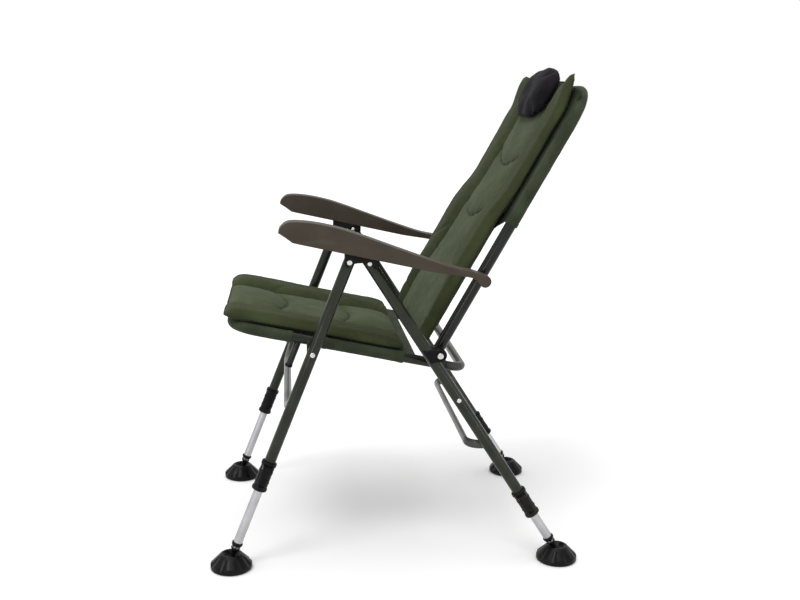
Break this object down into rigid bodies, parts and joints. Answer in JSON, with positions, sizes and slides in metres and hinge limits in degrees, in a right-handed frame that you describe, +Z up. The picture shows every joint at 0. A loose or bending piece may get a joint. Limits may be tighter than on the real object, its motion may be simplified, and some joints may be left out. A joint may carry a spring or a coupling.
{
  "type": "carp fishing chair",
  "caption": "Folding reclining fishing chair with padded seat and back, headrest, armrests, telescopic legs and swivel mud feet.",
  "frame": {"origin": "on the ground in the middle of the four feet", "axes": "+Z up, +X to the sitter's left, the sitter faces -Y"},
  "size_m": [0.6514, 0.827, 1.1087],
  "materials": {
    "green_paint": "satin paint, dark olive green",
    "grey_tube": "grey satin powder coat",
    "bare_aluminium": "drawn aluminium, bright",
    "black_plastic": "fine moulded texture",
    "foot_plastic": "moulded, slightly dusty",
    "bright_steel": "bright zinc-plated",
    "sleeve_cloth": "coated polyester, dark green",
    "dark_cloth": "coated polyester, dark green",
    "cushion_cloth": "peach-skin polyester, olive green",
    "armrest_plastic": "moulded, brown-grey",
    "headrest_cloth": "brushed black fleece"
  },
  "bodies": {
    "rear_frame": {"rear_leg_left": "green_paint", "rear_leg_right": "green_paint", "stop_rivet_left": "bright_steel", "stop_rivet_right": "bright_steel", "rear_crossbar": "grey_tube", "hinge_saddle_left": "black_plastic", "hinge_saddle_right": "black_plastic", "hinge_bolt_left": "bright_steel", "hinge_bolt_right": "bright_steel", "armrest_bracket_left": "black_plastic", "armrest_bracket_right": "black_plastic", "bracket_rivet_left": "bright_steel", "bracket_rivet_right": "bright_steel", "leg_clamp_rear_left": "black_plastic", "leg_clamp_rear_right": "black_plastic"},
    "front_frame": {"front_leg_left": "green_paint", "front_leg_right": "green_paint", "front_leg_cap_left": "black_plastic", "front_leg_cap_right": "black_plastic", "bracket_bolt_left": "bright_steel", "bracket_bolt_right": "bright_steel", "seat_stud_left": "bright_steel", "seat_stud_right": "bright_steel", "front_crossbar": "grey_tube", "leg_clamp_front_left": "black_plastic", "leg_clamp_front_right": "black_plastic"},
    "seat": {"seat_frame": "green_paint", "seat_rear_bar": "grey_tube", "seat_sleeve_front": "sleeve_cloth", "seat_sleeve_rear_left": "sleeve_cloth", "seat_sleeve_rear_right": "sleeve_cloth", "seat_sling": "dark_cloth", "seat_pad": "cushion_cloth"},
    "back_carrier": {"back_washer_left": "bright_steel", "back_washer_right": "bright_steel"},
    "back": {"back_frame": "green_paint", "back_sleeve": "sleeve_cloth", "back_panel": "dark_cloth", "back_pad": "cushion_cloth", "headrest_pillow": "headrest_cloth"},
    "armrest_bushes": {"armrest_bush_left": "black_plastic", "armrest_bush_right": "black_plastic"},
    "armrests": {"armrest_left": "armrest_plastic", "armrest_right": "armrest_plastic"},
    "inner_leg_front_left": {"inner_leg_front_left": "bare_aluminium"},
    "foot_front_left": {"foot_front_left": "foot_plastic"},
    "clamp_lever_front_left": {"clamp_lever_front_left": "black_plastic"},
    "inner_leg_front_right": {"inner_leg_front_right": "bare_aluminium"},
    "foot_front_right": {"foot_front_right": "foot_plastic"},
    "clamp_lever_front_right": {"clamp_lever_front_right": "black_plastic"},
    "inner_leg_rear_left": {"inner_leg_rear_left": "bare_aluminium"},
    "foot_rear_left": {"foot_rear_left": "foot_plastic"},
    "clamp_lever_rear_left": {"clamp_lever_rear_left": "black_plastic"},
    "inner_leg_rear_right": {"inner_leg_rear_right": "bare_aluminium"},
    "foot_rear_right": {"foot_rear_right": "foot_plastic"},
    "clamp_lever_rear_right": {"clamp_lever_rear_right": "black_plastic"}
  },
  "joints": [
    {"name": "frame_fold", "type": "hinge", "parent": "rear_frame", "child": "front_frame", "pos_m": [0, -0.11525, 0.688], "axis": [1, 0, 0], "range_deg": [0, 50], "deforming": ["seat_pad", "back_pad"]},
    {"name": "seat_lift", "type": "hinge", "parent": "rear_frame", "child": "seat", "pos_m": [0, 0.08325, 0.485], "axis": [-1, 0, 0], "range_deg": [0, 46]},
    {"name": "back_fold", "type": "hinge", "parent": "rear_frame", "child": "back_carrier", "pos_m": [0, 0.08325, 0.485], "axis": [1, 0, 0], "range_deg": [0, 49]},
    {"name": "back_recline", "type": "hinge", "parent": "back_carrier", "child": "back", "pos_m": [0, 0.08325, 0.485], "axis": [-1, 0, 0], "range_deg": [0, 35]},
    {"name": "armrest_turn", "type": "hinge", "parent": "back", "child": "armrest_bushes", "pos_m": [0, 0.17324, 0.65006], "axis": [1, 0, 0], "range_deg": [0, 24]},
    {"name": "armrest_lift", "type": "hinge", "parent": "armrest_bushes", "child": "armrests", "pos_m": [0, 0.17324, 0.65006], "axis": [-1, 0, 0], "range_deg": [0, 96]},
    {"name": "leg_extend_front_left", "type": "slide", "parent": "front_frame", "child": "inner_leg_front_left", "axis": [0, -0.3545, -0.9351], "range_m": [-0.13, 0.04]},
    {"name": "foot_tilt_front_left", "type": "hinge", "parent": "inner_leg_front_left", "child": "foot_front_left", "pos_m": [0.28, -0.36775, 0.022], "axis": [1, 0, 0], "range_deg": [-10, 10]},
    {"name": "clamp_lever_front_left_turn", "type": "hinge", "parent": "front_frame", "child": "clamp_lever_front_left", "pos_m": [0.302, -0.28692, 0.23519], "axis": [0, -0.9351, 0.3545], "range_deg": [0, 80]},
    {"name": "leg_extend_front_right", "type": "slide", "parent": "front_frame", "child": "inner_leg_front_right", "axis": [0, -0.3545, -0.9351], "range_m": [-0.13, 0.04]},
    {"name": "foot_tilt_front_right", "type": "hinge", "parent": "inner_leg_front_right", "child": "foot_front_right", "pos_m": [-0.28, -0.36775, 0.022], "axis": [1, 0, 0], "range_deg": [-10, 10]},
    {"name": "clamp_lever_front_right_turn", "type": "hinge", "parent": "front_frame", "child": "clamp_lever_front_right", "pos_m": [-0.302, -0.28692, 0.23519], "axis": [0, 0.9351, -0.3545], "range_deg": [0, 80]},
    {"name": "leg_extend_rear_left", "type": "slide", "parent": "rear_frame", "child": "inner_leg_rear_left", "axis": [0, 0.5531, -0.8331], "range_m": [-0.06, 0.11]},
    {"name": "foot_tilt_rear_left", "type": "hinge", "parent": "inner_leg_rear_left", "child": "foot_rear_left", "pos_m": [0.28, 0.36775, 0.022], "axis": [1, 0, 0], "range_deg": [-10, 10]},
    {"name": "clamp_lever_rear_left_turn", "type": "hinge", "parent": "rear_frame", "child": "clamp_lever_rear_left", "pos_m": [0.302, 0.27705, 0.15863], "axis": [0, -0.8331, -0.5531], "range_deg": [0, 80]},
    {"name": "leg_extend_rear_right", "type": "slide", "parent": "rear_frame", "child": "inner_leg_rear_right", "axis": [0, 0.5531, -0.8331], "range_m": [-0.06, 0.11]},
    {"name": "foot_tilt_rear_right", "type": "hinge", "parent": "inner_leg_rear_right", "child": "foot_rear_right", "pos_m": [-0.28, 0.36775, 0.022], "axis": [1, 0, 0], "range_deg": [-10, 10]},
    {"name": "clamp_lever_rear_right_turn", "type": "hinge", "parent": "rear_frame", "child": "clamp_lever_rear_right", "pos_m": [-0.302, 0.27705, 0.15863], "axis": [0, 0.8331, 0.5531], "range_deg": [0, 80]}
  ],
  "couplings": [
    {"joint": "seat_lift", "follows": "frame_fold", "ratio": 0.91},
    {"joint": "back_fold", "follows": "frame_fold", "ratio": 0.96},
    {"joint": "armrest_lift", "follows": "frame_fold", "ratio": 1.9},
    {"joint": "armrest_turn", "follows": "back_recline", "ratio": 0.675}
  ]
}
